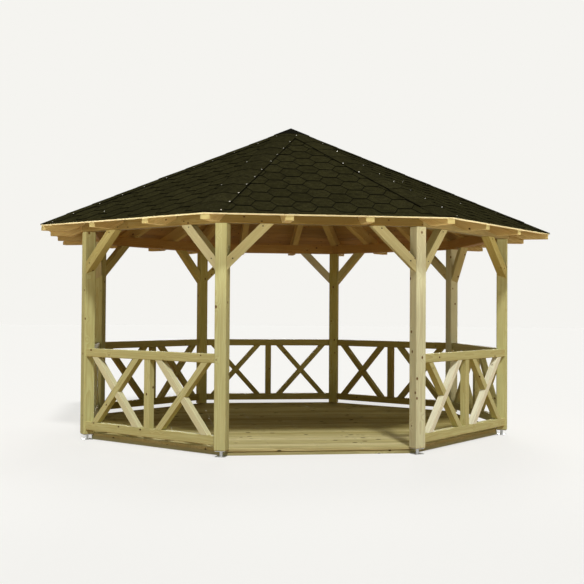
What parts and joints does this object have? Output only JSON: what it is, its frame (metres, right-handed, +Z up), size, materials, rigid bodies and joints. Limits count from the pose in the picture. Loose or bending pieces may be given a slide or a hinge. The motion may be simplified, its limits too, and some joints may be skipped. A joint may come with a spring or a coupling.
{
  "type": "garden gazebo",
  "caption": "Open eight-sided timber garden gazebo: posts on feet, cross-braced railings with one bay left open, knee braces, a boarded deck and a shingled pyramid roof.",
  "frame": {"origin": "centre of the eight-sided plan, on the ground under the feet and the deck bearers", "axes": "+Z up, -Y out through the open entrance bay, +X to the right of someone who faces it from outside"},
  "size_m": [5.7282, 5.7282, 3.6741],
  "materials": {
    "post_timber": "planed pine, greenish pressure treatment, matt",
    "beam_timber": "planed pine, greenish pressure treatment, matt",
    "brace_timber": "planed pine, greenish pressure treatment, matt",
    "railing_timber": "planed pine, pale, matt",
    "rafter_timber": "planed pine, matt",
    "roof_boarding": "tongued and grooved spruce boards, matt",
    "bitumen_shingles": "mineral surfaced bitumen, rough",
    "deck_timber": "grooved pine decking, matt",
    "bearer_timber": "sawn pine, damp and dark",
    "galvanised_steel": "hot-dip galvanised, dull"
  },
  "bodies": {
    "root": {"post_front_left": "post_timber", "post_front_right": "post_timber", "post_right_front": "post_timber", "post_right_back": "post_timber", "post_back_right": "post_timber", "post_back_left": "post_timber", "post_left_back": "post_timber", "post_left_front": "post_timber", "post_feet": "galvanised_steel", "wall_plate_front": "beam_timber", "wall_plate_front_right": "beam_timber", "wall_plate_right": "beam_timber", "wall_plate_back_right": "beam_timber", "wall_plate_back": "beam_timber", "wall_plate_back_left": "beam_timber", "wall_plate_left": "beam_timber", "wall_plate_front_left": "beam_timber", "knee_braces": "brace_timber", "railing_front_right": "railing_timber", "railing_right": "railing_timber", "railing_back_right": "railing_timber", "railing_back": "railing_timber", "railing_back_left": "railing_timber", "railing_left": "railing_timber", "railing_front_left": "railing_timber", "hip_rafters": "rafter_timber", "jack_rafters": "rafter_timber", "king_block": "rafter_timber", "roof_boards_front": "roof_boarding", "roof_boards_front_right": "roof_boarding", "roof_boards_right": "roof_boarding", "roof_boards_back_right": "roof_boarding", "roof_boards_back": "roof_boarding", "roof_boards_back_left": "roof_boarding", "roof_boards_left": "roof_boarding", "roof_boards_front_left": "roof_boarding", "shingles": "bitumen_shingles", "hip_caps": "bitumen_shingles", "apex_cap": "bitumen_shingles", "deck": "deck_timber", "deck_bearers": "bearer_timber"}
  },
  "joints": []
}
